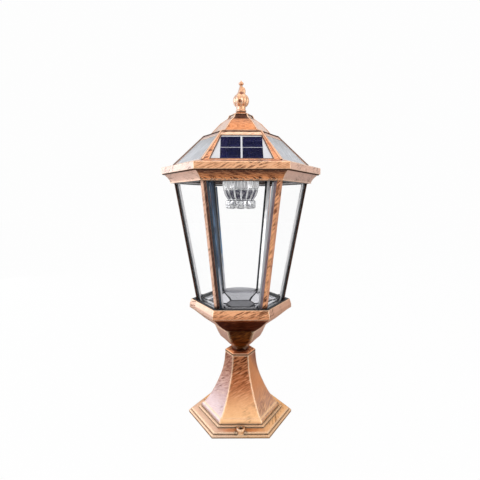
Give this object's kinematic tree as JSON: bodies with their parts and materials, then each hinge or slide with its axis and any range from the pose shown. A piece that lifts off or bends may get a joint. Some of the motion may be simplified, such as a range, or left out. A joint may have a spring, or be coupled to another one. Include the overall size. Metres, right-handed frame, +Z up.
{
  "type": "solar gate light",
  "caption": "Hexagonal lantern gate light: outward-leaning glazed cage over a bowl, a fluted lens, a sloping solar roof with a lobed finial, and a concave hollow pedestal with bolt bosses.",
  "frame": {"origin": "centre of the pedestal's bottom face", "axes": "+Z up along the lantern's axis; the front face looks along -Y"},
  "size_m": [0.264, 0.2286, 0.564],
  "materials": {
    "copper_finish": "brushed copper coating",
    "zinc_steel": "zinc plated",
    "bare_aluminium": "satin",
    "black_seal": "matte",
    "bright_aluminium": "polished",
    "dark_plate": "satin",
    "clear_glass": "clear",
    "white_backsheet": "matte",
    "silicon_blue": "gloss",
    "cover_glass": "clear",
    "grey_panel": "gloss",
    "white_plate": "satin",
    "silver_collar": "metallised",
    "crystal": "clear, fluted",
    "white_board": "matte",
    "led_yellow": "gloss",
    "black_plastic": "matte",
    "cell_wrap": "sleeved",
    "green_board": "satin",
    "button_plastic": "gloss"
  },
  "bodies": {
    "base": {"pedestal": "copper_finish", "collar": "copper_finish", "neck": "copper_finish", "bowl": "copper_finish", "tie_rod": "zinc_steel", "rod_nuts": "zinc_steel", "rod_washers": "zinc_steel", "sill_frame": "bare_aluminium", "sill_seal": "black_seal", "tray": "bright_aluminium", "tray_plate": "dark_plate", "corner_bar_right": "copper_finish", "corner_bar_rear_right": "copper_finish", "corner_bar_rear_left": "copper_finish", "corner_bar_left": "copper_finish", "corner_bar_front_left": "copper_finish", "corner_bar_front_right": "copper_finish", "bar_seal_right": "black_seal", "bar_seal_rear_right": "black_seal", "bar_seal_rear_left": "black_seal", "bar_seal_left": "black_seal", "bar_seal_front_left": "black_seal", "bar_seal_front_right": "black_seal", "glass_pane_front": "clear_glass", "glass_pane_front_right": "clear_glass", "glass_pane_rear_right": "clear_glass", "glass_pane_rear": "clear_glass", "glass_pane_rear_left": "clear_glass", "glass_pane_front_left": "clear_glass", "fascia_ring": "copper_finish", "head_seal": "black_seal", "roof_screws": "zinc_steel"},
    "head": {"roof_frame": "copper_finish", "solar_board_front": "white_backsheet", "solar_cells_front": "silicon_blue", "panel_cover_front": "cover_glass", "infill_panel_front_right": "grey_panel", "solar_board_rear_right": "white_backsheet", "solar_cells_rear_right": "silicon_blue", "panel_cover_rear_right": "cover_glass", "infill_panel_rear": "grey_panel", "solar_board_rear_left": "white_backsheet", "solar_cells_rear_left": "silicon_blue", "panel_cover_rear_left": "cover_glass", "infill_panel_front_left": "grey_panel", "crown": "copper_finish", "finial": "copper_finish", "finial_nut": "zinc_steel", "ceiling_plate": "white_plate", "ceiling_screws": "zinc_steel", "lens_collar": "silver_collar", "crystal_lens": "crystal", "led_board": "white_board", "led_chips": "led_yellow", "battery_box": "black_plastic", "battery_cells": "cell_wrap", "control_board": "green_board", "control_parts": "black_plastic", "switch_body": "black_plastic"},
    "button": {"switch_button": "button_plastic"}
  },
  "joints": [
    {"name": "roof_lift", "type": "slide", "parent": "base", "child": "head", "axis": [0, 0, 1], "range_m": [0, 0.12]},
    {"name": "switch_press", "type": "slide", "parent": "head", "child": "button", "axis": [0, 0, 1], "range_m": [0, 0.0018], "stiffness_N_per_m": 500, "springref_m": -0.001}
  ]
}
